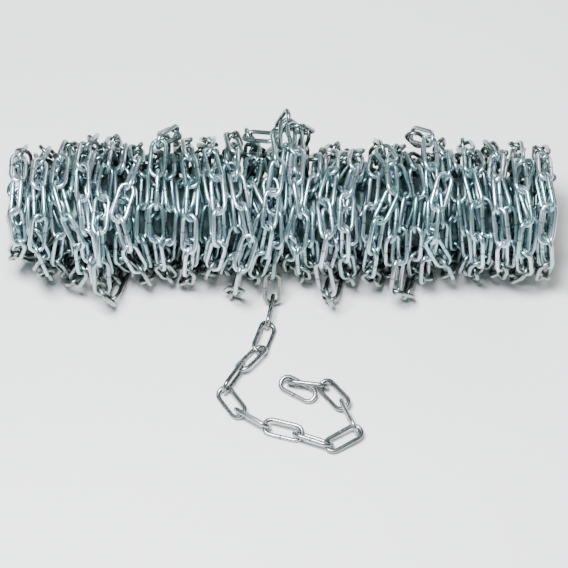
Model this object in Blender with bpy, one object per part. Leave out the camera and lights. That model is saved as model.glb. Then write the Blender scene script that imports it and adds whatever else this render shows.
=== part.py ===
"""Roll of long-link steel chain, 50 m of it wound about a lying axis, with a tail of fourteen links.

Metres, +X along the roll, +Z up, the tail towards -Y. It is built about a point on the floor under the
roll's middle, and then stands with its origin at the middle of its whole footprint.
"""

from math import cos, pi, radians, sin

import bpy
import numpy as np
from mathutils.bvhtree import BVHTree

# The link: 4 mm wire, bent and butt-welded
WIRE = 0.004
LINK_LENGTH = 0.040
LINK_WIDTH = 0.0175
END_RADIUS = (LINK_WIDTH - WIRE) / 2
HALF_STRAIGHT = (LINK_LENGTH - LINK_WIDTH) / 2
TIP_REACH = HALF_STRAIGHT + END_RADIUS
WIRE_SIDES = 6
BEND_STEPS = 6
GAP = 0.0003
SEAT = 0.0006
EDGE_STEPS = 7
SHARP_ANGLE = 40
BRIGHT_ZINC = ((0.62, 0.66, 0.68), 0.3)
SHADED_ZINC = ((0.30, 0.35, 0.36), 0.4)

# The roll as wound
ROLL_LENGTH = 0.506
ROLL_RADIUS = 0.0685
AXIS_HEIGHT = 0.066
CORE_RADIUS = 0.036
CORE_SHORT = 0.001
# The bore's flats lie one gap from the core
BORE_RADIUS = 0.03665
TURNS = 23
TURN_PITCH = ROLL_LENGTH / TURNS
BANDS = 8
SEED = 7

# The outer strand: joint spacing, how deep its links' middles lie, and the share of a turn, under the
# roll, in which it crosses to the next turn
LINK_SPACING = 0.0303
LINK_DEPTH = 0.0072
CROSS_SHARE = 0.09
ANGLE_STEPS = 360
# Its links are rolled one way and the other by about half a right angle, in degrees, so that one side of
# each stands high. The swing runs on by so many radians a link
MEAN_ROLL = 45
ROLL_SWING = 24
ROLL_RATE = 0.37

# Each turn of the solids shows its links by two stations a link, at these shares of the way from joint to
# joint. Where a short turn has too little room, the last ones close up
LINKS_SHOWN = 13
LINK_SHARES = (0.10, 0.90)
CLOSE_FROM = 0.86
CLOSE_ROOM = 0.15
# The high side of a link is a ridge: half widths of its top and foot. Depths of what lies beside it
RIDGE_TOP = 0.0013
RIDGE_FOOT = 0.0034
FOOT_DEPTH = 0.0112
VALLEY_DEPTH = 0.0100
VALLEY_SWING = 0.0020
LEAST_WALL = 0.0040
CORE_STATIONS = 28

# The turns wander along the roll by these waves: reach, waves round the roll, radians per metre, phase.
# The power sets how near the ends they still do
STRAY_POWER = 4
WANDER = ((0.0052, 1, 20.0, 0.4), (0.0030, 2, -31.0, 1.3), (0.0016, 3, 47.0, 2.1))

# Where the roll swells or sinks: place along the roll, angle up from the back, height, reach along the
# roll, reach round it in degrees
LUMPS = (
    (-0.2530, 42, -0.0110, 0.0130, 95), (-0.2530, 222, -0.0230, 0.0160, 95),
    (0.2530, 42, -0.0080, 0.0120, 95), (0.2530, 222, -0.0060, 0.0100, 95),
    (-0.2130, 42, -0.0080, 0.0090, 50), (-0.1540, 45, 0.0080, 0.0330, 55),
    (-0.1300, 42, -0.0090, 0.0060, 40), (-0.0480, 40, 0.0080, 0.0420, 55),
    (0.0110, 42, 0.0060, 0.0150, 32), (0.0640, 42, -0.0090, 0.0080, 45),
    (-0.2050, 218, 0.0050, 0.0160, 30), (-0.1660, 220, 0.0070, 0.0150, 28),
    (-0.0710, 222, -0.0060, 0.0100, 30), (-0.0430, 220, 0.0040, 0.0090, 25),
    (0.0060, 222, -0.0060, 0.0120, 30), (0.0450, 222, 0.0040, 0.0120, 25),
    (0.1150, 222, 0.0050, 0.0140, 28), (0.1460, 222, -0.0090, 0.0090, 35),
    (0.1950, 222, -0.0080, 0.0180, 35), (-0.0900, 120, -0.0030, 0.0300, 40),
    (0.0900, 150, 0.0030, 0.0400, 50), (0.1700, 95, 0.0030, 0.0350, 40),
)

# The turns that show on the two ends: share of the way from the core to the edge, and how far each stands
# out, then the same for the core's own ends, by radius
END_RINGS = ((0.80, 0.0030), (0.60, -0.0015), (0.40, 0.0030), (0.20, -0.0015))
CORE_RINGS = ((0.0300, 0.0020), (0.0250, -0.0015), (0.0200, 0.0020), (0.0150, -0.0015), (0.0100, 0.0015),
              (0.0050, -0.0010))

# The tail: where its hanging link meets the floor, and the way each link points, in degrees from +X
# towards +Y and then down
TAIL_START = (-0.0085, -0.0700)
TAIL_HANG_HEIGHT = 0.0060
TAIL_WAYS = ((-90, 82), (-99, 0), (-107, 0), (-127, 0), (-119, 0), (-60, 0), (-36, 0), (-20, 0),
             (-21.0, 0), (31.3, 0), (110.6, 0), (127.3, 0), (171.6, 0), (-34.1, 0))
# How each link is turned about its own length, from lying open to the viewer
TAIL_ROLLS = (0, 90, 168, 232, 292, 0, 90, 0, 96.6, -25.9, 95.0, 7.4, 99.1, -11.0)
VIEWER_ELEVATION = 48
TAIL_SLACK = 0.0022
SHARP_TURN = 0.5
FOLD_SLACK = 0.0025
LINE_STEPS = 24
CLOSE_UP_ROUNDS = 80
TIP_CLEAR = WIRE + GAP
JOINT_GAP = 0.00045
SIDE_SEAT = END_RADIUS - WIRE - GAP

# Links that stand proud of the roll: place along it, angle up from the back, the way the link points
# (0 along the roll, 90 round it), its turn about its length, its lean out of the roll's surface
LOOP_LINKS = (
    (0.0010, 44, 70, 88, 24), (0.0190, 50, 112, 12, 14), (-0.0190, 62, 35, 20, 6),
    (-0.1620, 209, 78, 60, 0), (-0.0440, 215, 100, 15, 0), (0.0440, 213, 84, 70, 0),
    (0.1120, 215, 66, 20, 0), (0.1300, 60, 60, 75, 4), (-0.1050, 70, 118, 80, 4),
)


def clear_scene():
    for item in list(bpy.data.objects):
        bpy.data.objects.remove(item, do_unlink=True)


def steel(name, finish):
    colour, roughness = finish
    material = bpy.data.materials.new(name)
    material.use_nodes = True
    shader = material.node_tree.nodes["Principled BSDF"]
    shader.inputs["Base Color"].default_value = (*colour, 1.0)
    shader.inputs["Metallic"].default_value = 1.0
    shader.inputs["Roughness"].default_value = roughness
    return material


def add_solid(name, points, faces, material):
    """One closed body from its points and faces, smooth but for the edges where it bends sharply."""
    mesh = bpy.data.meshes.new(name)
    mesh.from_pydata([tuple(point) for point in points], [], [tuple(face) for face in faces])
    mesh.update()
    mesh.shade_smooth()
    mesh.set_sharp_from_angle(angle=radians(SHARP_ANGLE))
    mesh.materials.append(material)
    solid = bpy.data.objects.new(name, mesh)
    bpy.context.scene.collection.objects.link(solid)
    return solid


def grid_faces(rows, columns, around=False):
    """Quads of a grid of points, its columns closed into a ring, and its rows too where around is set."""
    faces = []
    for row in range(rows if around else rows - 1):
        for column in range(columns):
            following = (column + 1) % columns
            above = (row + 1) % rows
            faces.append((row * columns + column, row * columns + following,
                          above * columns + following, above * columns + column))
    return faces


def link_points(centre, along, side):
    """A link's wire: a circle carried round a stadium in the plane of along and side."""
    normal = np.cross(side, along)
    bend = np.linspace(-pi / 2, pi / 2, BEND_STEPS + 1)
    angles = np.concatenate((bend, bend + pi))
    shift = np.where(np.arange(angles.size) <= BEND_STEPS, HALF_STRAIGHT, -HALF_STRAIGHT)
    outward = np.outer(np.cos(angles), along) + np.outer(np.sin(angles), side)
    middle = centre + np.outer(shift, along) + END_RADIUS * outward
    turn = np.linspace(0, 2 * pi, WIRE_SIDES, endpoint=False) + pi / WIRE_SIDES
    section = (np.cos(turn)[None, :, None] * outward[:, None, :]
               + np.sin(turn)[None, :, None] * normal[None, None, :])
    return (middle[:, None, :] + WIRE / 2 * section).reshape(-1, 3)


def link_faces():
    return grid_faces(2 * (BEND_STEPS + 1), WIRE_SIDES, around=True)


def turned_side(along, face_towards, roll):
    """The in-plane side of a link that points along, and faces one way when roll is 0 degrees."""
    across = np.cross(face_towards, along)
    across /= np.linalg.norm(across)
    facing = np.cross(along, across)
    return cos(radians(roll)) * across + sin(radians(roll)) * facing


def direction(heading, dive):
    level = cos(radians(dive))
    return np.array((level * cos(radians(heading)), level * sin(radians(heading)), -sin(radians(dive))))


def envelope(along, angle):
    """Radius of the roll's lumpy outer surface at a place along it and an angle up from the back."""
    radius = np.full(np.broadcast(along, angle).shape, ROLL_RADIUS)
    for place, degrees, height, reach, spread in LUMPS:
        away = (np.asarray(angle) - radians(degrees) + pi) % (2 * pi) - pi
        radius += height * np.exp(-((along - place) / reach) ** 2 - (away / radians(spread)) ** 2)
    return radius


def wander(along, angle):
    """How far the turns stray along the roll. It dies out at the two ends, which lie square."""
    steady = 1 - (2 * along / ROLL_LENGTH) ** STRAY_POWER
    return steady * sum(reach * np.sin(waves * angle + rate * along + phase)
                        for reach, waves, rate, phase in WANDER)


def outer_strand():
    """The outer strand as wound: its angles from under the roll, and how many links it has run by each."""
    share = np.arange(TURNS * ANGLE_STEPS + 1) / ANGLE_STEPS
    angles = 2 * pi * share - pi / 2
    boundary = np.round(share)
    crossed = np.clip((share - boundary) / (2 * CROSS_SHARE) + 0.5, 0, 1)
    crossed = crossed ** 2 * (3 - 2 * crossed)
    outermost = (ROLL_LENGTH - TURN_PITCH) / 2
    place = np.clip(TURN_PITCH * (boundary - 0.5 + crossed) - ROLL_LENGTH / 2, -outermost, outermost)
    radius = envelope(place, angles) - LINK_DEPTH
    strayed = place + wander(place, angles)
    points = np.stack((strayed, radius * np.cos(angles), radius * np.sin(angles)), axis=-1)
    steps = np.linalg.norm(np.diff(points, axis=0), axis=1)
    return angles, np.concatenate(([0.0], np.cumsum(steps))) / LINK_SPACING


def turn_stations(turn, strand):
    """The angles of one turn's stations, and the number of the link that each is on."""
    angles, run = strand
    start = turn * ANGLE_STEPS
    link = np.repeat(np.arange(LINKS_SHOWN), len(LINK_SHARES)) + int(np.ceil(run[start]))
    place = link + np.tile(LINK_SHARES, LINKS_SHOWN)
    shown = np.interp(place, run, angles)
    beyond = np.maximum(place - run[-1], 0) * 2 * pi / LINKS_SHOWN
    shown = shown + beyond
    room = shown[0] + 2 * pi - CLOSE_ROOM * 2 * pi / LINKS_SHOWN
    close_from = angles[start] + CLOSE_FROM * 2 * pi
    if shown[-1] > room:
        late = shown > close_from
        shown[late] = close_from + (shown[late] - close_from) * (room - close_from) / (shown[-1] - close_from)
    return shown, link


def turn_lines(turn, strand):
    """One turn's lines, each its place along the roll, its depth below the envelope, and its angles.

    The high side of every link is a ridge. It lies left and right of the turn's middle by turns.
    """
    angles, link = turn_stations(turn, strand)
    swing = ROLL_SWING * np.sin(ROLL_RATE * (link + 0.5))
    roll = np.radians(MEAN_ROLL + swing + 90 * link)
    reach, rise = END_RADIUS * np.cos(roll), END_RADIUS * np.sin(roll)
    ridge = TURN_PITCH * (turn + 0.5) - ROLL_LENGTH / 2 + np.sign(rise) * reach
    top = LINK_DEPTH - WIRE / 2 - np.abs(rise)
    foot = np.full(angles.size, FOOT_DEPTH)
    return [(ridge - RIDGE_FOOT, foot, angles), (ridge - RIDGE_TOP, top, angles),
            (ridge + RIDGE_TOP, top, angles), (ridge + RIDGE_FOOT, foot, angles)]


def roll_lines():
    """Every line of the layer: the turns, and the valley on each side of them."""
    chance = np.random.default_rng(SEED)
    strand = outer_strand()
    turns = [turn_lines(turn, strand) for turn in range(TURNS)]
    round_each = [lines[0][2] - 2 * pi * turn for turn, lines in enumerate(turns)]
    beside = round_each[:1] + round_each + round_each[-1:]
    valleys = []
    for edge in range(TURNS + 1):
        angles = (beside[edge] + beside[edge + 1]) / 2
        depth = VALLEY_DEPTH + chance.uniform(-1, 1, angles.size) * VALLEY_SWING
        place = TURN_PITCH * edge - ROLL_LENGTH / 2
        valleys.append((np.full(angles.size, place), depth, angles))
    return turns, valleys


def round_points(place, radius, angles):
    """Points round the roll, none of them below the floor that the lowest links lie on."""
    points = np.stack((place, radius * np.cos(angles), AXIS_HEIGHT + radius * np.sin(angles)), axis=-1)
    points[:, 2] = np.maximum(points[:, 2], 0.0)
    return points


def line_ring(line, inset):
    place, depth, angles = line
    radius = np.maximum(envelope(place, angles) - depth, BORE_RADIUS + LEAST_WALL)
    return round_points(place + inset + wander(place, angles), radius, angles)


def end_ring(line, share, stands_out, way):
    """A ring of the flat end of a length of the layer, at a share of the way from its bore to its edge."""
    place, depth, angles = line
    even = 2 * pi * np.arange(angles.size) / angles.size - pi / 2
    edge = np.maximum(envelope(place, angles) - depth, BORE_RADIUS + LEAST_WALL)
    across = place + way * (stands_out - GAP / 2) + wander(place, angles)
    return round_points(across, BORE_RADIUS + share * (edge - BORE_RADIUS), even + share * (angles - even))


def band_rings(lines, is_first, is_last):
    """The rings of points of one length of the layer: over its turns, then back through its bore."""
    rings = [line_ring(line, 0.0) for line in lines]
    right, left = lines[-1], lines[0]
    rings[0] = line_ring(left, GAP / 2)
    rings[-1] = line_ring(right, -GAP / 2)
    ends = [(right, 0.0, 0.0, 1), (left, 0.0, 0.0, -1)]
    if is_last:
        ends = [(right, share, stands_out, 1) for share, stands_out in END_RINGS] + ends
    if is_first:
        ends += [(left, share, stands_out, -1) for share, stands_out in reversed(END_RINGS)]
    return rings + [end_ring(*end) for end in ends]


def add_layer(material):
    """The outer turns, as closed solids side by side that each hold two or three turns."""
    turns, valleys = roll_lines()
    stations = valleys[0][2].size
    edges = np.round(np.linspace(0, TURNS, BANDS + 1)).astype(int)
    solids = []
    for band in range(BANDS):
        low, high = edges[band], edges[band + 1]
        lines = []
        for turn in range(low, high):
            lines += [valleys[turn]] + turns[turn]
        lines.append(valleys[high])
        rings = band_rings(lines, band == 0, band == BANDS - 1)
        faces = grid_faces(len(rings), stations, around=True)
        # The last row is split along its other diagonal, as its neighbour's wall is
        faces = faces[:-stations] + [face[1:] + face[:1] for face in faces[-stations:]]
        solids.append(add_solid(f"outer_turns_{band + 1}", np.concatenate(rings), faces, material))
    return solids


def add_core(material):
    """The hidden turns as one plain bar, whose ends show the innermost turns as rings."""
    stations = CORE_STATIONS
    angles = np.linspace(0, 2 * pi, stations, endpoint=False) - pi / 2
    half = ROLL_LENGTH / 2 - CORE_SHORT
    profile = [(half, CORE_RADIUS)] + [(half + stands_out, radius) for radius, stands_out in CORE_RINGS]
    profile = [(-place, radius) for place, radius in reversed(profile)] + profile
    rings = [round_points(np.full(stations, place), radius, angles) for place, radius in profile]
    points = np.concatenate(rings)
    faces = grid_faces(len(rings), stations)
    last = (len(rings) - 1) * stations
    faces.append(tuple(range(stations - 1, -1, -1)))
    faces.append(tuple(range(last, last + stations)))
    return add_solid("hidden_turns", points, faces, material)


def hooked_ends(tip, back, slack, seat, flat_side, steep_side):
    """The far tip of one link and the near tip of the next, both at the height their wires rest at.

    The flatter link lies down in the steeper one's end by the seat, and the steeper one stands on the floor.
    """
    height = WIRE / 2 + max(END_RADIUS * steep_side[2], END_RADIUS * flat_side[2] + seat * steep_side[2])
    ends = [tip, tip - (TIP_CLEAR + slack) * back]
    return [np.array((end[0], end[1], height)) for end in ends]


def tail_tips(headings, sides):
    """Both tips of each tail link, hooked one in the next along the floor.

    The first link hangs down the front of the roll. Where two links hook, the next tip lies back by one
    wire and some slack, along the flatter link, or along the next one where the chain folds back.
    """
    far = np.array((*TAIL_START, TAIL_HANG_HEIGHT))
    tips = [[far - 2 * TIP_REACH * headings[0], far]]
    for index, following in enumerate(headings[1:]):
        steep, flat = sorted((index, index + 1), key=lambda link: -sides[link][2])
        bend = float(headings[index] @ following)
        slack, seat = (TAIL_SLACK, SIDE_SEAT) if bend > SHARP_TURN else (0.0, 0.0)
        back = headings[flat] if index > 0 else following
        if bend < 0 and index > 0:
            slack, back = FOLD_SLACK, following
        ends = hooked_ends(tips[index][1], back, slack, seat, sides[flat], sides[steep])
        ends[flat - index] = ends[flat - index] - seat * sides[steep]
        if index > 0:
            tips[index][1] = ends[0]
        tips.append([ends[1], ends[1] + 2 * TIP_REACH * following])
    return tips


def tail_frames():
    """Centre, length direction and side of each tail link."""
    headings = [direction(*way) for way in TAIL_WAYS]
    viewer = direction(-90, -VIEWER_ELEVATION)
    sides = [turned_side(along, viewer, roll) for along, roll in zip(headings, TAIL_ROLLS)]
    sides = [side if side[2] >= 0 else -side for side in sides]
    frames = []
    for (near, far), side in zip(tail_tips(headings, sides), sides):
        along = (far - near) / np.linalg.norm(far - near)
        side = side - (side @ along) * along
        frames.append([(near + far) / 2, along, side / np.linalg.norm(side)])
    return closed_up(frames)


def wire_line(centre, along, side):
    """Points close together along the middle of a link's wire."""
    bend = np.linspace(-pi / 2, pi / 2, LINE_STEPS)
    angles = np.concatenate((bend, np.full(LINE_STEPS, pi / 2), bend + pi, np.full(LINE_STEPS, -pi / 2)))
    run = np.linspace(1, -1, LINE_STEPS)
    still = np.ones(LINE_STEPS)
    shift = HALF_STRAIGHT * np.concatenate((still, run, -still, -run))
    outward = np.outer(np.cos(angles), along) + np.outer(np.sin(angles), side)
    return centre + np.outer(shift, along) + END_RADIUS * outward


def closed_up(frames):
    """Each link slid, a little at a time, until it is one gap from the next and none is in the floor."""
    lines = [wire_line(*frame) for frame in frames]
    for _ in range(CLOSE_UP_ROUNDS):
        for index in range(len(lines) - 1):
            apart = lines[index + 1][None] - lines[index][:, None]
            distances = np.linalg.norm(apart, axis=2)
            nearest = np.unravel_index(distances.argmin(), distances.shape)
            missing = WIRE + JOINT_GAP - distances[nearest]
            push = missing / 2 * apart[nearest] / distances[nearest]
            lines[index] = lines[index] - push
            lines[index + 1] = lines[index + 1] + push
        for index, line in enumerate(lines):
            lines[index] = line + np.array((0.0, 0.0, max(0.0, WIRE / 2 - line[:, 2].min())))
    return [(line.mean(axis=0), along, side) for line, (_, along, side) in zip(lines, frames)]


def along_edges(points, faces):
    """Points spread along every edge of a mesh."""
    pairs = np.array(sorted({tuple(sorted((face[corner - 1], face[corner])))
                             for face in faces for corner in range(len(face))}))
    steps = np.linspace(0, 1, EDGE_STEPS)[:, None, None]
    return ((1 - steps) * points[pairs[:, 0]] + steps * points[pairs[:, 1]]).reshape(-1, 3)


def seated_distance(points, faces, inward, layer):
    """How far a link can move inwards before it is one seat's gap from the layer, or on the floor."""
    mine = BVHTree.FromPolygons([tuple(point) for point in points], faces)
    clear = []
    for solid in layer:
        theirs = np.array([vertex.co for vertex in solid.data.vertices])
        if np.all(theirs[:, 0] < points[:, 0].min()) or np.all(theirs[:, 0] > points[:, 0].max()):
            continue
        their_faces = [tuple(face.vertices) for face in solid.data.polygons]
        tree = BVHTree.FromPolygons([tuple(point) for point in theirs], their_faces)
        for origin in along_edges(points, faces):
            clear.append(tree.ray_cast(tuple(origin), tuple(inward))[3])
        for origin in along_edges(theirs, their_faces):
            clear.append(mine.ray_cast(tuple(origin), tuple(-inward))[3])
    distance = min(value for value in clear if value is not None) - SEAT
    if inward[2] < 0:
        distance = min(distance, points[:, 2].min() / -inward[2])
    return distance


def add_tail(layer, material):
    """The tail, moved towards the roll until its hanging link rests against the turns."""
    frames = tail_frames()
    back = np.array((0.0, 1.0, 0.0))
    shift = seated_distance(link_points(*frames[0]), link_faces(), back, layer) * back
    return [add_solid(f"tail_link_{number:02d}", link_points(centre + shift, along, side), link_faces(),
                      material) for number, (centre, along, side) in enumerate(frames, 1)]


def add_loop_links(layer, material):
    """The links that stand proud, each moved in towards the axis until it rests on the turns."""
    solids = []
    for number, (place, degrees, heading, roll, lean) in enumerate(LOOP_LINKS, 1):
        angle = radians(degrees)
        outward = np.array((0.0, np.cos(angle), np.sin(angle)))
        around = np.array((0.0, -np.sin(angle), np.cos(angle)))
        level = cos(radians(heading)) * np.array((1.0, 0.0, 0.0)) + sin(radians(heading)) * around
        along = cos(radians(lean)) * level + sin(radians(lean)) * outward
        side = turned_side(along, outward, roll)
        start = np.array((place, 0.0, AXIS_HEIGHT)) + 2 * ROLL_RADIUS * outward
        points = link_points(start, along, side)
        points = points - seated_distance(points, link_faces(), -outward, layer) * outward
        solids.append(add_solid(f"loop_link_{number:02d}", points, link_faces(), material))
    return solids


def centre_footprint(solids):
    """All of it carried by one empty, which puts the middle of the footprint at the origin."""
    corners = np.array([vertex.co for solid in solids for vertex in solid.data.vertices])
    middle = (corners.min(axis=0) + corners.max(axis=0)) / 2
    carrier = bpy.data.objects.new("chain_roll", None)
    carrier.location = (-middle[0], -middle[1], 0.0)
    bpy.context.scene.collection.objects.link(carrier)
    for solid in solids:
        solid.parent = carrier


def build():
    clear_scene()
    bright = steel("bright_zinc", BRIGHT_ZINC)
    shaded = steel("shaded_zinc", SHADED_ZINC)
    core = add_core(shaded)
    layer = add_layer(bright)
    tail = add_tail(layer, bright)
    loops = add_loop_links(layer, bright)
    centre_footprint([core] + layer + tail + loops)


build()
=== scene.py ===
import bpy
import numpy as np
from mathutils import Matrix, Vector
from math import pi, radians, tau


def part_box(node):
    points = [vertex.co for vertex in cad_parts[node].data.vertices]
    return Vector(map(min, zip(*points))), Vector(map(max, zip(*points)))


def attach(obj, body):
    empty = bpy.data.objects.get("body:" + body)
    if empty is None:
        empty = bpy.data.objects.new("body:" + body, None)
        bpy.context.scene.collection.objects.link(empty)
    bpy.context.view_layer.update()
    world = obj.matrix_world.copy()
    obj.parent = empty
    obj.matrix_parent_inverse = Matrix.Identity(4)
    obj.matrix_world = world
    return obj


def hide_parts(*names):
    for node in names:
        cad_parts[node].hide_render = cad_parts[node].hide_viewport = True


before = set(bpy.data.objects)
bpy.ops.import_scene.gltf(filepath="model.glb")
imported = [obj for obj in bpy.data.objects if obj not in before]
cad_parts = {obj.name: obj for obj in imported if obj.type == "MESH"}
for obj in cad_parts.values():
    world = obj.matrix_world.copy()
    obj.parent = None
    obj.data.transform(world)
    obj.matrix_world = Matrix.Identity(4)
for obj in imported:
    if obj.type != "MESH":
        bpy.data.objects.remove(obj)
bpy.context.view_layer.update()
print("frame loaded")

# The link is a 4 mm wire bent to a 40 by 17.5 mm stadium. All measures are in metres. The last one is how
# far a slack joint lies from the middles of its two links.
wireRadius = 0.002
bendRadius = 0.00675
halfStraight = 0.01125
jointReach = 0.01515
hiddenLow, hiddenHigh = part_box("hidden_turns")
axisPoint = np.array([(a + b) / 2 for a, b in zip(hiddenLow, hiddenHigh)])


def unit(v):
    return v / np.maximum(np.linalg.norm(v, axis=-1, keepdims=True), 1e-12)


def nodePoints(name):
    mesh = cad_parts[name].data
    points = np.empty(len(mesh.vertices) * 3)
    mesh.vertices.foreach_get("co", points)
    return np.unique(np.round(points.reshape(-1, 3), 7), axis=0)


def linkFrame(name):
    points = nodePoints(name)
    centre = points.mean(axis=0)
    axes = np.linalg.svd(points - centre, full_matrices=False)[2]
    return centre, axes[0], axes[1]


tailNames = sorted(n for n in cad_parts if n.startswith("tail_link"))
loopNames = sorted(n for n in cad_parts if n.startswith("loop_link"))
turnNames = sorted(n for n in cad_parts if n.startswith("outer_turns"))
tailFrames = [linkFrame(n) for n in tailNames]
loopFrames = [linkFrame(n) for n in loopNames]

# The roll's outer surface, by the same rule as the solids: a plain radius plus soft lumps, each with its
# place along the roll, its angle up from the back, its height, and its reach along and round the roll.
rollSet = {"length": 0.506, "radius": 0.0685, "stray": 4}
lumps = (
    (-0.2530, 42, -0.0110, 0.0130, 95), (-0.2530, 222, -0.0230, 0.0160, 95),
    (0.2530, 42, -0.0080, 0.0120, 95), (0.2530, 222, -0.0060, 0.0100, 95),
    (-0.2130, 42, -0.0080, 0.0090, 50), (-0.1540, 45, 0.0080, 0.0330, 55),
    (-0.1300, 42, -0.0090, 0.0060, 40), (-0.0480, 40, 0.0080, 0.0420, 55),
    (0.0110, 42, 0.0060, 0.0150, 32), (0.0640, 42, -0.0090, 0.0080, 45),
    (-0.2050, 218, 0.0050, 0.0160, 30), (-0.1660, 220, 0.0070, 0.0150, 28),
    (-0.0710, 222, -0.0060, 0.0100, 30), (-0.0430, 220, 0.0040, 0.0090, 25),
    (0.0060, 222, -0.0060, 0.0120, 30), (0.0450, 222, 0.0040, 0.0120, 25),
    (0.1150, 222, 0.0050, 0.0140, 28), (0.1460, 222, -0.0090, 0.0090, 35),
    (0.1950, 222, -0.0080, 0.0180, 35), (-0.0900, 120, -0.0030, 0.0300, 40),
    (0.0900, 150, 0.0030, 0.0400, 50), (0.1700, 95, 0.0030, 0.0350, 40),
)
halfLength = (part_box(turnNames[-1])[1][0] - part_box(turnNames[0])[0][0]) / 2


def envelopeAt(x, angle):
    x = np.asarray(x) - axisPoint[0]
    radius = np.full(np.broadcast(x, angle).shape, rollSet["radius"])
    for place, degrees, height, reach, spread in lumps:
        away = (np.asarray(angle) - radians(degrees) + pi) % tau - pi
        radius += height * np.exp(-((x - place) / reach) ** 2 - (away / radians(spread)) ** 2)
    return radius


def roundAxis(points):
    y = points[..., 1] - axisPoint[1]
    z = points[..., 2] - axisPoint[2]
    return np.hypot(y, z), np.arctan2(z, y)


def atAxis(x, radius, theta):
    return np.stack((axisPoint[0] + x, axisPoint[1] + radius * np.cos(theta),
                     axisPoint[2] + radius * np.sin(theta)), axis=-1)


# Each strand goes round in even turns and crosses to the next one under the roll. Its place along the
# axis is that of the turn plus waves that all turns share. Its radius is the envelope less its depth.
# A link's roll, its turn about its own length, is one angle plus a sine of its number plus a few degrees
# by chance, the layer's rollStray.
windSet = {"spacing": 0.0303, "seed": 11, "cross": 0.09, "steps": 360,
           "shared": ((0.0052, 1, 20.0, 0.4), (0.0030, 2, -31.0, 1.3), (0.0016, 3, 47.0, 2.1)),
           "roll": 45, "swing": 24, "rate": 0.37}
layerSet = (
    {"depth": 0.0072, "turns": 23, "stray": 0.0006, "rollStray": 5},
    {"depth": 0.0168, "turns": 26, "stray": 0.0016, "rollStray": 14},
    {"depth": 0.0262, "turns": 24, "stray": 0.0018, "rollStray": 18},
)
# A short coil inside each end of the roll: which end, and its radius.
coilSet = {"radii": ((-1, 0.0200), (1, 0.0265)), "turns": 2.6, "start": 0.2455, "end": 0.2100,
           "first": 0.5, "step": 0.01, "rollStray": 15}
# Strands that leave their row and run slantwise over their neighbours: place, angle, shift, reach round.
slantSet = ((-0.118, 2.4, -0.016, 0.6), (0.098, 1.8, 0.018, 0.6), (0.175, 2.7, -0.016, 0.6),
            (-0.190, 3.0, 0.016, 0.6))
slantRise = 0.0015
chance = np.random.default_rng(windSet["seed"])


def wanderAt(x, theta):
    steady = 1 - (2 * x / rollSet["length"]) ** rollSet["stray"]
    return steady * sum(reach * np.sin(waves * theta + rate * x + phase)
                        for reach, waves, rate, phase in windSet["shared"])


# Joints along a path, one spacing apart by its length.
def jointsAlong(points):
    length = np.concatenate(([0], np.cumsum(np.linalg.norm(np.diff(points, axis=0), axis=1))))
    stops = np.arange(0, length[-1], windSet["spacing"])
    return np.stack([np.interp(stops, length, points[:, axis]) for axis in range(3)], axis=-1)


def windPath(layer, slants=()):
    share = np.arange(layer["turns"] * windSet["steps"] + 1) / windSet["steps"]
    theta = tau * share - pi / 2
    boundary = np.round(share)
    crossed = np.clip((share - boundary) / (2 * windSet["cross"]) + 0.5, 0, 1)
    crossed = crossed ** 2 * (3 - 2 * crossed)
    pitch = rollSet["length"] / layer["turns"]
    first = 0.5 * pitch - rollSet["length"] / 2
    last = first + (layer["turns"] - 1) * pitch
    x = np.clip(first + pitch * (boundary - 1 + crossed), first, last)
    run = x + wanderAt(x, theta)
    depth = layer["depth"] + 0 * theta
    for place, angle, reach, spread in slants:
        turn = np.round((np.interp(place, x, theta) - angle) / tau)
        near = np.exp(-((theta - angle - tau * turn) / spread) ** 2)
        run = run + reach * near
        depth = depth - slantRise * near
    joints = jointsAlong(atAxis(run, envelopeAt(axisPoint[0] + x, theta) - depth, theta))
    joints[:, 0] += layer["stray"] * chance.normal(0, 1, len(joints))
    return joints


def coilPath(end, radius):
    theta = coilSet["first"] + np.arange(0, tau * coilSet["turns"], coilSet["step"])
    return jointsAlong(atAxis(end * np.linspace(coilSet["start"], coilSet["end"], theta.size), radius, theta))


# A held link, one that the solids place, takes the place of the nearest link of the outer strand. The
# joints on both sides of it are drawn towards it by a squared cosine over a few links, so that the chain
# runs on through it. Held links lie some links apart, and their neighbours' roll is led over to theirs.
holdSet = {"draw": 5, "apart": 3, "cutDraw": 6, "cutApart": 4, "rollOver": 4}


def drawTo(joints, index, target, reach):
    away = np.abs(np.arange(len(joints)) - index)
    weight = np.where(away <= reach, np.cos(np.minimum(away, reach) / reach * pi / 2) ** 2, 0.0)
    return joints + weight[:, None] * (target - joints[index])


def framesFromJoints(joints, rollAt):
    centre = (joints[1:] + joints[:-1]) / 2
    along = unit(joints[1:] - joints[:-1])
    radial = centre - axisPoint
    radial[:, 0] = 0
    outward = unit(radial - (radial * along).sum(axis=1, keepdims=True) * along)
    across = np.cross(outward, along)
    roll = rollAt + pi / 2 * np.arange(len(centre))
    side = np.cos(roll)[:, None] * across + np.sin(roll)[:, None] * outward
    return centre, along, side, across, outward


outer = windPath(layerSet[0], slantSet)
inner = [windPath(layer) for layer in layerSet[1:]]
coils = [coilPath(end, radius) for end, radius in coilSet["radii"]]
heldLinks = {}
for centre, along, side in loopFrames:
    middles = (outer[1:] + outer[:-1]) / 2
    order = np.argsort(np.linalg.norm(middles - centre, axis=1))
    chosen = next(k for k in order if all(abs(k - held) > holdSet["apart"] for held in heldLinks))
    forward = 1 if along @ (outer[chosen + 1] - outer[chosen]) > 0 else -1
    outer = drawTo(outer, chosen, centre - forward * jointReach * along, holdSet["draw"])
    outer = drawTo(outer, chosen + 1, centre + forward * jointReach * along, holdSet["draw"])
    heldLinks[int(chosen)] = (centre, forward * along, side)

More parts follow.
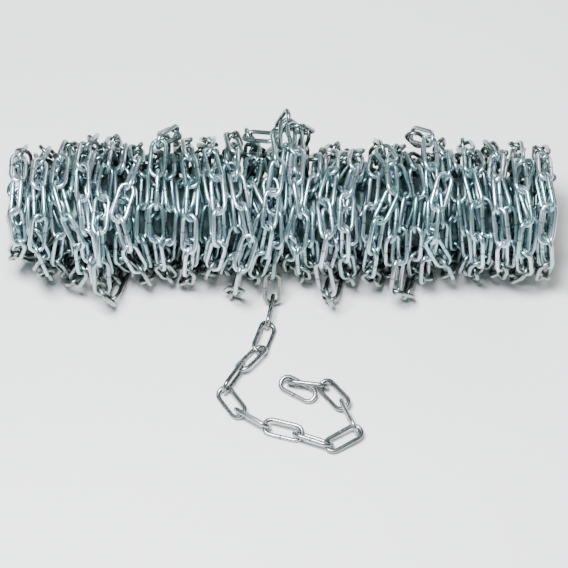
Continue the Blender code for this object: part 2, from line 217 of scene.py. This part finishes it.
# The free end: the outer strand comes over the top and down the front, and hangs on as the tail.
firstTail = tailFrames[0]
downward = firstTail[1] if firstTail[1][2] < 0 else -firstTail[1]
hangPoint = firstTail[0] - jointReach * downward
distances = np.linalg.norm(outer - hangPoint, axis=1)
cut = next(int(k) for k in np.argsort(distances)
           if all(abs(k - held) > holdSet["cutApart"] for held in heldLinks))
outer[:cut + 1] = drawTo(outer[:cut + 1], cut, hangPoint, holdSet["cutDraw"])


# Next to each held link, and to the tail, the roll is led over to the held one's own.
def rollToHeld(rollAt, across, outward):
    wanted = {k: side for k, (_, _, side) in heldLinks.items()}
    wanted[cut] = firstTail[2]
    for k, side in wanted.items():
        angle = np.arctan2(side @ outward[k], side @ across[k]) - rollAt[k] - pi / 2 * k
        angle = (angle + pi / 2) % pi - pi / 2
        away = np.abs(np.arange(len(rollAt)) - k)
        rollAt = rollAt + angle * np.where(away < holdSet["rollOver"], 1 - away / holdSet["rollOver"], 0)
    return rollAt


paths = [outer] + inner + coils
strays = [layer["rollStray"] for layer in layerSet] + [coilSet["rollStray"]] * len(coils)
centres, alongs, sides, joinedPairs, heldFlags, shownFlags = [], [], [], [], [], []
count = 0
for number, (joints, stray) in enumerate(zip(paths, strays)):
    links = len(joints) - 1
    swing = windSet["swing"] * np.sin(windSet["rate"] * (np.arange(links) + 0.5))
    rollAt = np.radians(windSet["roll"] + swing + stray * chance.normal(0, 1, links))
    centre, along, side, across, outward = framesFromJoints(joints, rollAt)
    keep = np.ones(links, bool)
    held = np.zeros(links, bool)
    if number == 0:
        centre, along, side, _, _ = framesFromJoints(joints, rollToHeld(rollAt, across, outward))
        for k, heldFrame in heldLinks.items():
            centre[k], along[k], side[k] = heldFrame
            held[k] = True
        keep[cut:cut + 2] = False
    index = np.cumsum(keep) - 1 + count
    both = keep[:-1] & keep[1:]
    joinedPairs.append(np.stack((index[:-1][both], index[1:][both]), axis=-1))
    if number == 0:
        lastWound = index[cut - 1]
    centres.append(centre[keep])
    alongs.append(along[keep])
    sides.append(side[keep])
    heldFlags.append(held[keep])
    shownFlags.append(~held[keep])
    count += int(keep.sum())
tailStart = count
tailNumbers = np.arange(tailStart, tailStart + len(tailFrames))
for rows, column in ((centres, 0), (alongs, 1), (sides, 2)):
    rows.append(np.array([f[column] for f in tailFrames]))
heldFlags.append(np.ones(len(tailFrames), bool))
shownFlags.append(np.zeros(len(tailFrames), bool))
joinedPairs.append(np.array([[lastWound, tailStart]]))
joinedPairs.append(np.stack((tailNumbers[:-1], tailNumbers[1:]), axis=-1))
centres, alongs, sides = (np.concatenate(rows) for rows in (centres, alongs, sides))
heldFlags, shownFlags = np.concatenate(heldFlags), np.concatenate(shownFlags)
joinedPairs = np.concatenate(joinedPairs)
free = ~heldFlags
sides = unit(sides - (sides * alongs).sum(axis=1, keepdims=True) * alongs)
print("links laid:", len(centres))

# Settling: each link is a stiff ring of twelve straight pieces. Where two pieces come closer than one
# wire, both links are pushed and turned apart; joints that are pulled open are drawn together. Every
# link's move is the mean of its pushes, its turn the mean of their moments by its radius of gyration.
settleSet = {"firstRounds": 60, "rounds": 480, "apart": 0.00408, "step": 0.0006, "spin": 0.05,
             "gyration": 0.0105, "jointSlack": 0.0012, "inner": 0.0360, "innerHalf": 0.203,
             "endRoom": 0.001, "everyPairs": 40, "everyPieces": 8, "pairReach": 0.046,
             "pieceReach": 0.0072, "block": 2000, "bendPoints": 6, "bulge": 1.02, "hooked": 0.5,
             "lastRounds": 60, "unroll": 0.03}
# A link may stand this far out of the envelope: most barely do, the ones next to a held link do.
proudSet = {"plain": 0.0012, "beside": ((1, 0.012), (2, 0.006)), "beforeTail": 0.008}
proud = np.full(len(centres), proudSet["plain"])
for k in np.nonzero(heldFlags[:tailStart])[0]:
    for away, reach in proudSet["beside"]:
        proud[[k - away, k + away]] = reach
proud[lastWound] = proudSet["beforeTail"]


def ringPlaces():
    each = settleSet["bendPoints"]
    bend = np.linspace(-pi / 2, pi / 2, each)
    angles = np.concatenate((bend, bend + pi))
    shift = np.where(np.arange(2 * each) < each, halfStraight, -halfStraight)
    reach = bendRadius * settleSet["bulge"]
    return np.stack((shift + reach * np.cos(angles), bendRadius * np.sin(angles)), axis=-1)


ring = ringPlaces()


def ringPoints(centre, along, side):
    return centre[:, None] + ring[None, :, :1] * along[:, None] + ring[None, :, 1:] * side[:, None]


def closestOnPieces(p1, q1, p2, q2):
    d1, d2, r = q1 - p1, q2 - p2, p1 - p2
    a = (d1 * d1).sum(axis=1)
    e = (d2 * d2).sum(axis=1)
    f = (d2 * r).sum(axis=1)
    c = (d1 * r).sum(axis=1)
    b = (d1 * d2).sum(axis=1)
    denominator = np.maximum(a * e - b * b, 1e-16)
    s = np.clip((b * f - c * e) / denominator, 0, 1)
    t = np.clip((b * s + f) / e, 0, 1)
    s = np.clip((b * t - c) / a, 0, 1)
    return p1 + s[:, None] * d1, p2 + t[:, None] * d2


# How often two links wind through each other, by Gauss's sum over both rings, each piece cut in four.
def linkedTimes(centre, along, side):
    first, second = joinedPairs.T
    points = ringPoints(centre, along, side)
    ahead = np.roll(points, -1, axis=1) - points
    fine = np.stack([points + share * ahead for share in (0, 0.25, 0.5, 0.75)], axis=2)
    fine = fine.reshape(len(points), -1, 3)
    step = np.roll(fine, -1, axis=1) - fine
    middle = fine + step / 2
    apart = middle[first][:, :, None] - middle[second][:, None]
    turning = (np.cross(step[first][:, :, None], step[second][:, None]) * apart).sum(axis=-1)
    return (turning / np.linalg.norm(apart, axis=-1) ** 3).sum(axis=(1, 2)) / (4 * pi)


def looseJoints(centre, along, side):
    return np.abs(linkedTimes(centre, along, side)) < settleSet["hooked"]


# Pairs of links that may touch. The two links of a loose joint pass through each other.
def nearPairs(centre, loose):
    first, second = joinedPairs.T
    looseKeys = (np.minimum(first, second) * len(centre) + np.maximum(first, second))[loose]
    apart = np.linalg.norm(centre[:, None] - centre[None], axis=-1)
    pairs = np.stack(np.nonzero(np.triu(apart < settleSet["pairReach"], 1)), axis=-1)
    pairs = pairs[free[pairs[:, 0]] | free[pairs[:, 1]]]
    return pairs[~np.isin(pairs[:, 0] * len(centre) + pairs[:, 1], looseKeys)]


def nearPieces(points, pairs):
    middles = ((points + np.roll(points, -1, axis=1)) / 2).astype(np.float32)
    lengths = np.linalg.norm(np.roll(points, -1, axis=1) - points, axis=2)[0].astype(np.float32)
    found = []
    for start in range(0, len(pairs), settleSet["block"]):
        rows = pairs[start:start + settleSet["block"]]
        apart = np.linalg.norm(middles[rows[:, 0]][:, :, None] - middles[rows[:, 1]][:, None], axis=-1)
        limit = (lengths[:, None] + lengths[None]) / 2 + settleSet["pieceReach"]
        k, i, j = np.nonzero(apart < limit[None])
        found.append(np.stack((rows[k, 0], i, rows[k, 1], j), axis=-1))
    return np.concatenate(found)


def gapsOf(points, pieces):
    after = np.roll(points, -1, axis=1)
    one, i, two, j = pieces.T
    pa, pb = closestOnPieces(points[one, i], after[one, i], points[two, j], after[two, j])
    return one, two, pa, pb, np.linalg.norm(pa - pb, axis=1)


def gather(target, index, values):
    for axis in range(3):
        target[:, axis] += np.bincount(index, values[:, axis], minlength=len(target))


def press(sums, centre, index, place, change):
    arm = place - centre[index]
    gather(sums["push"], index, change)
    gather(sums["spin"], index, np.cross(arm, change) / settleSet["gyration"] ** 2)
    sums["hits"] += np.bincount(index, minlength=len(centre))


# Both links of a pair give way by half, or a free one by the whole beside a held one.
def shareOf(one, two):
    return np.where(free[one] & free[two], 0.5, 1.0)[:, None]


def pressContacts(sums, centre, points, pieces):
    one, two, pa, pb, gap = gapsOf(points, pieces)
    near = gap < settleSet["apart"]
    one, two, pa, pb, gap = one[near], two[near], pa[near], pb[near], gap[near]
    away = (pa - pb) / np.maximum(gap, 1e-6)[:, None] * (settleSet["apart"] - gap)[:, None]
    share = shareOf(one, two)
    press(sums, centre, one, pa, away * share)
    press(sums, centre, two, pb, -away * share)


def pressJoints(sums, centre, along, slack):
    first, second = joinedPairs.T
    forward = np.where(((centre[second] - centre[first]) * along[first]).sum(axis=1) > 0, 1, -1)
    backward = np.where(((centre[first] - centre[second]) * along[second]).sum(axis=1) > 0, 1, -1)
    endA = centre[first] + jointReach * forward[:, None] * along[first]
    endB = centre[second] + jointReach * backward[:, None] * along[second]
    apart = endB - endA
    size = np.linalg.norm(apart, axis=1)
    change = apart / np.maximum(size, 1e-9)[:, None] * np.maximum(size - slack, 0)[:, None]
    share = shareOf(first, second)
    press(sums, centre, first, endA, change * share)
    press(sums, centre, second, endB, -change * share)


# The walls: inside the envelope, outside the core, above the floor and between the ends.
def pressWalls(sums, centre, points):
    loosely = free[:, None]
    radius, angle = roundAxis(points)
    outwardAt = np.stack((np.zeros_like(radius), np.cos(angle), np.sin(angle)), axis=-1)
    limit = envelopeAt(points[..., 0], angle) + proud[:, None] - wireRadius
    change = -(np.maximum(radius - limit, 0) * loosely)[..., None] * outwardAt
    x = points[..., 0] - axisPoint[0]
    inside = np.maximum(settleSet["inner"] - radius, 0) * (np.abs(x) < settleSet["innerHalf"]) * loosely
    change = change + inside[..., None] * outwardAt
    change[..., 2] += np.maximum(wireRadius - points[..., 2], 0) * loosely
    ends = halfLength - wireRadius - settleSet["endRoom"]
    change[..., 0] -= np.sign(x) * np.maximum(np.abs(x) - ends, 0) * loosely
    link, corner = np.nonzero((change ** 2).sum(axis=-1) > 1e-14)
    press(sums, centre, link, points[link, corner], change[link, corner])


def shortened(rows, most):
    return rows * np.minimum(1, most / np.maximum(np.linalg.norm(rows, axis=1), 1e-9))[:, None]


# A loose joint's links are also rolled apart, towards a right angle between their planes.
def rollApart(turnBy, along, side, loose):
    first, second = joinedPairs.T
    bend = settleSet["unroll"] * ((side[first] * side[second]).sum(axis=1) * loose)[:, None]
    across = np.cross(side[first], side[second])
    for index, sign in ((first, 1), (second, -1)):
        own = (across * along[index]).sum(axis=1, keepdims=True)
        turnBy[index] -= sign * bend * np.sign(own) * along[index] * free[index][:, None]


def settle(centre, along, side, rounds, contacts):
    loose = np.zeros(len(joinedPairs), bool)
    for turn in range(rounds):
        points = ringPoints(centre, along, side)
        if contacts and turn % settleSet["everyPairs"] == 0:
            loose = looseJoints(centre, along, side) & (turn <= rounds - settleSet["lastRounds"])
            pairs = nearPairs(centre, loose)
        if contacts and turn % settleSet["everyPieces"] == 0:
            pieces = nearPieces(points, pairs)
        sums = {"push": np.zeros_like(centre), "spin": np.zeros_like(centre), "hits": np.zeros(len(centre))}
        if contacts:
            pressContacts(sums, centre, points, pieces)
        pressJoints(sums, centre, along, np.where(loose, 0.0, settleSet["jointSlack"]) if contacts else 0.0)
        pressWalls(sums, centre, points)
        scale = 1 / np.maximum(sums["hits"], 1)[:, None]
        move = shortened(sums["push"] * scale, settleSet["step"])
        turnBy = shortened(sums["spin"] * scale, settleSet["spin"])
        move[heldFlags] = 0
        turnBy[heldFlags] = 0
        if loose.any():
            rollApart(turnBy, along, side, loose)
        centre = centre + move
        along = unit(along + np.cross(turnBy, along))
        side = side + np.cross(turnBy, side)
        side = unit(side - (side * along).sum(axis=1, keepdims=True) * along)
    return centre, along, side


# Next to a held link the chain is rolled so that each link stands square to the one before it, less and
# less with each link.
squareWeights = (1.0, 0.6, 0.3)


def squareToHeld(along, side):
    starts = [(k, k + way, way) for k in np.nonzero(heldFlags[:tailStart])[0] for way in (-1, 1)]
    for before, link, way in starts + [(tailStart, lastWound, -1)]:
        for weight in squareWeights:
            wanted = np.cross(along[before], side[before])
            wanted = unit(wanted - (wanted @ along[link]) * along[link])
            wanted = wanted * (1 if wanted @ side[link] > 0 else -1)
            side[link] = unit(weight * wanted + (1 - weight) * side[link])
            before, link = link, link + way
    return side


centres, alongs, sides = settle(centres, alongs, sides, settleSet["firstRounds"], contacts=False)
sides = squareToHeld(alongs, sides)
centres, alongs, sides = settle(centres, alongs, sides, settleSet["rounds"], contacts=True)
print("joints not hooked:", int(looseJoints(centres, alongs, sides).sum()), "of", len(joinedPairs))

# A link's wire: a many-sided ring carried round the stadium. A ring of few sides is drawn wider, by this
# share over its sides, to look as thick as a round one. The map runs along the wire and round it.
meshSet = {"wider": 0.35, "wound": (6, 5), "single": (12, 10)}


def wireLine(stepsAtBend):
    bend = np.linspace(-pi / 2, pi / 2, stepsAtBend + 1)
    angles = np.concatenate((bend, bend + pi))
    shift = np.where(np.arange(angles.size) <= stepsAtBend, halfStraight, -halfStraight)
    outward = np.stack((np.cos(angles), np.sin(angles)), axis=-1)
    return np.stack((shift, np.zeros(angles.size)), axis=-1) + bendRadius * outward, outward


def linkMesh(name, frames, detail, material, node, looks):
    centre, along, side = frames
    sidesRound, stepsAtBend = detail
    middle, outward = wireLine(stepsAtBend)
    stations = len(middle)
    turn = np.linspace(0, tau, sidesRound, endpoint=False)
    reach = wireRadius * (1 + meshSet["wider"] / sidesRound)
    local = np.empty((stations, sidesRound, 3))
    local[..., :2] = middle[:, None] + reach * np.cos(turn)[None, :, None] * outward[:, None]
    local[..., 2] = -reach * np.sin(turn)[None]
    local = local.reshape(-1, 3)
    normal = np.cross(along, side)
    points = (centre[:, None] + local[None, :, :1] * along[:, None] + local[None, :, 1:2] * side[:, None]
              + local[None, :, 2:] * normal[:, None])
    closed = np.concatenate((middle, middle[:1]))
    run = np.concatenate(([0], np.cumsum(np.linalg.norm(np.diff(closed, axis=0), axis=1))))
    run = run / run[-1]
    s, t = np.meshgrid(np.arange(stations), np.arange(sidesRound), indexing="ij")
    s, t = s.ravel(), t.ravel()
    s2, t2 = (s + 1) % stations, (t + 1) % sidesRound
    face = np.stack((s * sidesRound + t, s2 * sidesRound + t, s2 * sidesRound + t2, s * sidesRound + t2),
                    axis=-1)
    low, high = t / sidesRound, (t + 1) / sidesRound
    flat = np.stack((np.stack((run[s], low), -1), np.stack((run[s + 1], low), -1),
                     np.stack((run[s + 1], high), -1), np.stack((run[s], high), -1)), axis=1)
    links, perLink = len(centre), len(local)
    faces = (face[None] + perLink * np.arange(links)[:, None, None]).reshape(-1, 4)
    mesh = bpy.data.meshes.new(name)
    mesh.vertices.add(links * perLink)
    mesh.vertices.foreach_set("co", points.ravel())
    mesh.loops.add(faces.size)
    mesh.loops.foreach_set("vertex_index", faces.ravel())
    mesh.polygons.add(len(faces))
    mesh.polygons.foreach_set("loop_start", np.arange(0, faces.size, 4))
    mesh.polygons.foreach_set("use_smooth", np.ones(len(faces), bool))
    uv = mesh.uv_layers.new(name="wire")
    uv.data.foreach_set("uv", np.tile(flat.reshape(-1, 2), (links, 1)).ravel())
    for label, values in looks.items():
        layer = mesh.attributes.new(label, "FLOAT", "POINT")
        layer.data.foreach_set("value", np.repeat(values, perLink))
    mesh.update(calc_edges=True)
    mesh.validate()
    addPiece(name, mesh, material, node)


def addPiece(name, mesh, material, node):
    mesh.materials.append(material)
    piece = bpy.data.objects.new(name, mesh)
    bpy.context.scene.collection.objects.link(piece)
    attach(piece, "root")
    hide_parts(node)


# Node helpers. A shared effect is a group that puts out one mask or normal.
def newGroup(name, inputs, output):
    group = bpy.data.node_groups.new(name, "ShaderNodeTree")
    for label, kind in inputs:
        group.interface.new_socket(label, in_out="INPUT", socket_type=kind)
    group.interface.new_socket(output[0], in_out="OUTPUT", socket_type=output[1])
    return group, group.nodes.new("NodeGroupInput"), group.nodes.new("NodeGroupOutput")


def add(tree, kind, **values):
    node = tree.nodes.new(kind)
    for key, value in values.items():
        if hasattr(node, key):
            setattr(node, key, value)
        else:
            node.inputs[key].default_value = value
    return node


def addGroup(tree, group, *sources):
    node = tree.nodes.new("ShaderNodeGroup")
    node.node_tree = group
    for socket, source in zip(node.inputs, sources):
        tree.links.new(source, socket)
    return node.outputs[0]


def calc(tree, operation, a, b=None, clamp=False):
    node = tree.nodes.new("ShaderNodeMath")
    node.operation = operation
    node.use_clamp = clamp
    for socket, value in zip(node.inputs, (a, b)):
        if isinstance(value, (int, float)):
            socket.default_value = value
        elif value is not None:
            tree.links.new(value, socket)
    return node.outputs[0]


def ramp(tree, source, stops):
    node = tree.nodes.new("ShaderNodeValToRGB")
    tree.links.new(source, node.inputs[0])
    while len(node.color_ramp.elements) < len(stops):
        node.color_ramp.elements.new(0.5)
    for element, (place, colour) in zip(node.color_ramp.elements, stops):
        element.position = place
        element.color = (*colour, 1)
    return node.outputs[0]


def mixTo(tree, amount, colour, towards):
    node = tree.nodes.new("ShaderNodeMix")
    node.data_type = "RGBA"
    tree.links.new(amount, node.inputs["Factor"])
    tree.links.new(colour, node.inputs["A"])
    node.inputs["B"].default_value = (*towards, 1)
    return node.outputs["Result"]


# Mottling: a weighted sum of two noises of different size on the object's own coordinates.
mottleSet = {"coarse": {"Scale": 70.0, "Detail": 3.0}, "fine": {"Scale": 420.0, "Detail": 2.0},
             "coarseShare": 0.65}
mottle, mottleIn, mottleOut = newGroup("zincMottle", (("Place", "NodeSocketVector"),),
                                       ("Mask", "NodeSocketFloat"))
coarse = add(mottle, "ShaderNodeTexNoise", **mottleSet["coarse"])
fine = add(mottle, "ShaderNodeTexNoise", **mottleSet["fine"])
mottle.links.new(mottleIn.outputs[0], coarse.inputs["Vector"])
mottle.links.new(mottleIn.outputs[0], fine.inputs["Vector"])
mixed = calc(mottle, "ADD", calc(mottle, "MULTIPLY", coarse.outputs["Fac"], mottleSet["coarseShare"]),
             calc(mottle, "MULTIPLY", fine.outputs["Fac"], 1 - mottleSet["coarseShare"]))
mottle.links.new(mixed, mottleOut.inputs[0])

# The weld: a narrow band round the wire near the middle of one straight side, one less the distance from
# it over its half width.
weldSet = {"place": 0.379, "half": 0.018, "shade": 0.8, "dull": 0.15, "dark": (0.05, 0.06, 0.07)}
weld, weldIn, weldOut = newGroup("weldBand", (("Wire", "NodeSocketVector"),), ("Mask", "NodeSocketFloat"))
parts = weld.nodes.new("ShaderNodeSeparateXYZ")
weld.links.new(weldIn.outputs[0], parts.inputs[0])
fromWeld = calc(weld, "ABSOLUTE", calc(weld, "SUBTRACT", parts.outputs[0], weldSet["place"]))
weldMask = calc(weld, "SUBTRACT", 1.0, calc(weld, "DIVIDE", fromWeld, weldSet["half"]), clamp=True)
weld.links.new(weldMask, weldOut.inputs[0])

# The bump of drawn wire: fine noise plus the weld's raised bead.
grainSet = {"noise": {"Scale": 900.0, "Detail": 3.0}, "share": 0.35, "strength": 0.3, "height": 0.0003}
grain, grainIn, grainOut = newGroup("wireGrain", (("Place", "NodeSocketVector"), ("Weld", "NodeSocketFloat")),
                                    ("Normal", "NodeSocketVector"))
noise = add(grain, "ShaderNodeTexNoise", **grainSet["noise"])
grain.links.new(grainIn.outputs[0], noise.inputs["Vector"])
roughness = calc(grain, "MULTIPLY", noise.outputs["Fac"], grainSet["share"])
height = calc(grain, "ADD", roughness, grainIn.outputs[1])
bump = add(grain, "ShaderNodeBump", Strength=grainSet["strength"], Distance=grainSet["height"])
grain.links.new(height, bump.inputs["Height"])
grain.links.new(bump.outputs[0], grainOut.inputs[0])

# Zinc: metal whose colour runs along a ramp by the mottle and each link's tint, and from there towards
# a painted olive shade by how far round the roll it faces from up and forward, towards a painted dark shade
# by how deep it lies, and towards the weld's own by its mask.
zincSet = {
    # The olive colour is the painted shade of links that face away from up and forward.
    "mottleShare": 0.6, "paintedShadeOlive": (0.19, 0.21, 0.18),
    "bright": {"stops": ((0.25, (0.24, 0.43, 0.44)), (0.50, (0.51, 0.66, 0.70)), (0.75, (0.77, 0.81, 0.92))),
               # Each deep colour is the painted shade that deep links are mixed towards.
               "deep": (0.045, 0.125, 0.13), "rough": (0.22, 0.36)},
    # The tail's zinc is a darker, greyer copy of the roll's: painted shade on the same chain.
    "tail": {"stops": ((0.25, (0.18, 0.19, 0.18)), (0.50, (0.31, 0.32, 0.32)), (0.75, (0.50, 0.51, 0.52))),
             "deep": (0.12, 0.14, 0.15), "rough": (0.20, 0.34)},
    # The core's zinc is painted dark: painted shade on the inner turns of the same chain.
    "core": {"stops": ((0.3, (0.09, 0.14, 0.145)), (0.7, (0.20, 0.27, 0.28))),
             "deep": (0.05, 0.08, 0.08), "rough": (0.4, 0.6)},
}


def zinc(name, kind):
    material = bpy.data.materials.new(name)
    material.use_nodes = True
    tree = material.node_tree
    shader = tree.nodes["Principled BSDF"]
    shader.inputs["Metallic"].default_value = 1.0
    place = tree.nodes.new("ShaderNodeTexCoord")
    spots = addGroup(tree, mottle, place.outputs["Object"])
    band = addGroup(tree, weld, place.outputs["UV"])
    tint, depthShade, paintedShade = (add(tree, "ShaderNodeAttribute", attribute_name=label).outputs["Fac"]
                          for label in ("tint", "depthShade", "paintedShade"))
    share = zincSet["mottleShare"]
    level = calc(tree, "ADD", calc(tree, "MULTIPLY", spots, share), calc(tree, "MULTIPLY", tint, 1 - share))
    colour = ramp(tree, level, kind["stops"])
    weldShade = calc(tree, "MULTIPLY", band, weldSet["shade"])
    # The first two mixes are painted shade, by facing and by depth; the weld's dark band is its own colour.
    for amount, towards in ((paintedShade, zincSet["paintedShadeOlive"]), (depthShade, kind["deep"]), (weldShade, weldSet["dark"])):
        colour = mixTo(tree, amount, colour, towards)
    tree.links.new(colour, shader.inputs["Base Color"])
    low, high = kind["rough"]
    rough = calc(tree, "ADD", calc(tree, "MULTIPLY", spots, high - low), low)
    rough = calc(tree, "ADD", rough, calc(tree, "MULTIPLY", band, weldSet["dull"]), clamp=True)
    tree.links.new(rough, shader.inputs["Roughness"])
    tree.links.new(addGroup(tree, grain, place.outputs["Object"], band), shader.inputs["Normal"])
    return material


brightZinc = zinc("brightZinc", zincSet["bright"])
shadedTailZinc = zinc("shadedTailZinc", zincSet["tail"])
shadedCoreZinc = zinc("shadedCoreZinc", zincSet["core"])
print("materials made")

# Painted shade: a link is painted darker with its depth below the roll's surface, where shade falls between
# the strands: not at all down to the first depth, and then evenly over the second one, up to the most.
depthShadeSet = {"from": 0.011, "over": 0.020, "most": 0.75}
# Painted shade: links that lie low at the front or over at the back are painted darker and more olive,
# by how far round they are from the ones that face up and forward. Tail links past the first get a fixed
# share of it.
paintedShadeSet = {"brightest": 125, "from": 0.72, "over": 0.6, "most": 0.85, "tail": 0.15}


def paintedShadeAt(angle):
    facing = np.cos(angle - radians(paintedShadeSet["brightest"]))
    return np.clip((paintedShadeSet["from"] - facing) / paintedShadeSet["over"], 0, 1) * paintedShadeSet["most"]


# The wound links, joined by the length of the roll that they lie in.
tintSet = {"wound": (0, 1), "single": (0.3, 1)}
tints = chance.uniform(*tintSet["wound"], len(centres))
radius, angle = roundAxis(centres)
depthBelow = envelopeAt(centres[:, 0], angle) - radius
# The painted shade of deep links, by their depth below the roll's surface.
depthShadeLevel = np.clip((depthBelow - depthShadeSet["from"]) / depthShadeSet["over"], 0, 1) * depthShadeSet["most"]
paintedShadeLevel = paintedShadeAt(angle)
spans = [(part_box(n)[0][0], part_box(n)[1][0]) for n in turnNames]
edges = [(before[1] + after[0]) / 2 for before, after in zip(spans[:-1], spans[1:])]
bandOf = np.searchsorted(edges, centres[:, 0])
for number, name in enumerate(turnNames):
    mine = shownFlags & (bandOf == number)
    looks = {"tint": tints[mine], "depthShade": depthShadeLevel[mine], "paintedShade": paintedShadeLevel[mine]}
    linkMesh(f"wound_links_{number + 1}", (centres[mine], alongs[mine], sides[mine]), meshSet["wound"],
             brightZinc, name, looks)
# The tail's first link hangs at the roll, and gets the painted shade by its angle as the proud links beside
# it do.
for name, material, frames in ([(n, shadedTailZinc, f) for n, f in zip(tailNames, tailFrames)]
                               + [(n, brightZinc, f) for n, f in zip(loopNames, loopFrames)]):
    frames = [row[None] for row in frames]
    hanging = material is brightZinc or name == tailNames[0]
    looks = {"tint": chance.uniform(*tintSet["single"], 1), "depthShade": np.zeros(1),
             "paintedShade": paintedShadeAt(roundAxis(frames[0])[1]) if hanging else np.full(1, paintedShadeSet["tail"])}
    linkMesh(name + "_wire", frames, meshSet["single"], material, name, looks)
print("links built")

# The deep turns: a bar with the relief of crossed strands, radius plus two waves round and along it. Its zinc
# is painted dark: painted shade for the inner turns, which are the same chain.
coreSet = {"radius": 0.0335, "half": 0.212, "rows": 180, "columns": 60, "relief": 0.0022,
           "strand": 0.011, "lobes": 7, "twist": 30}


def coreMesh():
    rows, columns = coreSet["rows"], coreSet["columns"]
    x = np.linspace(-coreSet["half"], coreSet["half"], rows)[:, None]
    theta = np.linspace(0, tau, columns, endpoint=False)[None]
    lobed = np.cos(coreSet["lobes"] * theta + coreSet["twist"] * x)
    wave = np.cos(tau * x / coreSet["strand"] + theta) * lobed
    points = atAxis(x + 0 * theta, coreSet["radius"] + coreSet["relief"] * (wave - 1), theta)
    i, j = np.meshgrid(np.arange(rows - 1), np.arange(columns), indexing="ij")
    i, j = i.ravel(), j.ravel()
    k = (j + 1) % columns
    quads = np.stack((i * columns + j, i * columns + k, (i + 1) * columns + k, (i + 1) * columns + j),
                     axis=-1)
    caps = [list(range(columns - 1, -1, -1)), list(range((rows - 1) * columns, rows * columns))]
    mesh = bpy.data.meshes.new("deep_turns")
    mesh.from_pydata(points.reshape(-1, 3).tolist(), [], quads.tolist() + caps)
    mesh.polygons.foreach_set("use_smooth", np.ones(len(mesh.polygons), bool))
    mesh.update()
    addPiece("deep_turns", mesh, shadedCoreZinc, "hidden_turns")


coreMesh()
print("core built")

# The stage: a plain pale floor, a soft key light from above the camera and a weaker one from behind.
floorSet = {"half": 6, "colour": (0.95, 0.95, 0.95), "rough": 0.7}
lightSet = (
    {"name": "keyBox", "place": (-0.30, -0.58, 1.65), "size": (0.75, 0.45), "power": 100,
     "colour": (0.97, 0.97, 1.0)},
    {"name": "backBox", "place": (0.5, 1.3, 1.0), "size": (1.2, 0.5), "power": 11,
     "colour": (1.0, 0.96, 0.88)},
)
lightAim = (0, 0.05, 0.06)
worldSet = {"colour": (0.50, 0.68, 0.68), "strength": 0.36}
cameraSet = {"sensor": 36, "lens": 169.54, "fromAxis": (0.00234, -1.72283, 1.81284), "down": 48}


def addFloor():
    material = bpy.data.materials.new("paleFloor")
    material.use_nodes = True
    shader = material.node_tree.nodes["Principled BSDF"]
    shader.inputs["Base Color"].default_value = (*floorSet["colour"], 1)
    shader.inputs["Roughness"].default_value = floorSet["rough"]
    mesh = bpy.data.meshes.new("floor")
    half = floorSet["half"]
    corners = [(-half, -half, 0), (half, -half, 0), (half, half, 0), (-half, half, 0)]
    mesh.from_pydata(corners, [], [(0, 1, 2, 3)])
    mesh.materials.append(material)
    floor = bpy.data.objects.new("floor", mesh)
    bpy.context.scene.collection.objects.link(floor)


def addLight(light):
    data = bpy.data.lights.new(light["name"], "AREA")
    data.shape = "RECTANGLE"
    data.size, data.size_y = light["size"]
    data.energy = light["power"]
    data.color = light["colour"]
    lamp = bpy.data.objects.new(light["name"], data)
    lamp.location = light["place"]
    direction = Vector(lightAim) - Vector(light["place"])
    lamp.rotation_euler = direction.to_track_quat("-Z", "Y").to_euler()
    bpy.context.scene.collection.objects.link(lamp)


def addWorld():
    scene = bpy.context.scene
    if scene.world is None:
        scene.world = bpy.data.worlds.new("studio")
    scene.world.use_nodes = True
    background = scene.world.node_tree.nodes["Background"]
    background.inputs["Color"].default_value = (*worldSet["colour"], 1)
    background.inputs["Strength"].default_value = worldSet["strength"]


def addCamera():
    camera = bpy.data.cameras.new("camera")
    camera.sensor_width = cameraSet["sensor"]
    camera.lens = cameraSet["lens"]
    viewer = bpy.data.objects.new("camera", camera)
    viewer.location = axisPoint + np.array(cameraSet["fromAxis"])
    viewer.rotation_euler = (radians(90 - cameraSet["down"]), 0, 0)
    bpy.context.scene.collection.objects.link(viewer)
    bpy.context.scene.camera = viewer


addFloor()
for light in lightSet:
    addLight(light)
addWorld()
addCamera()
print("stage set")
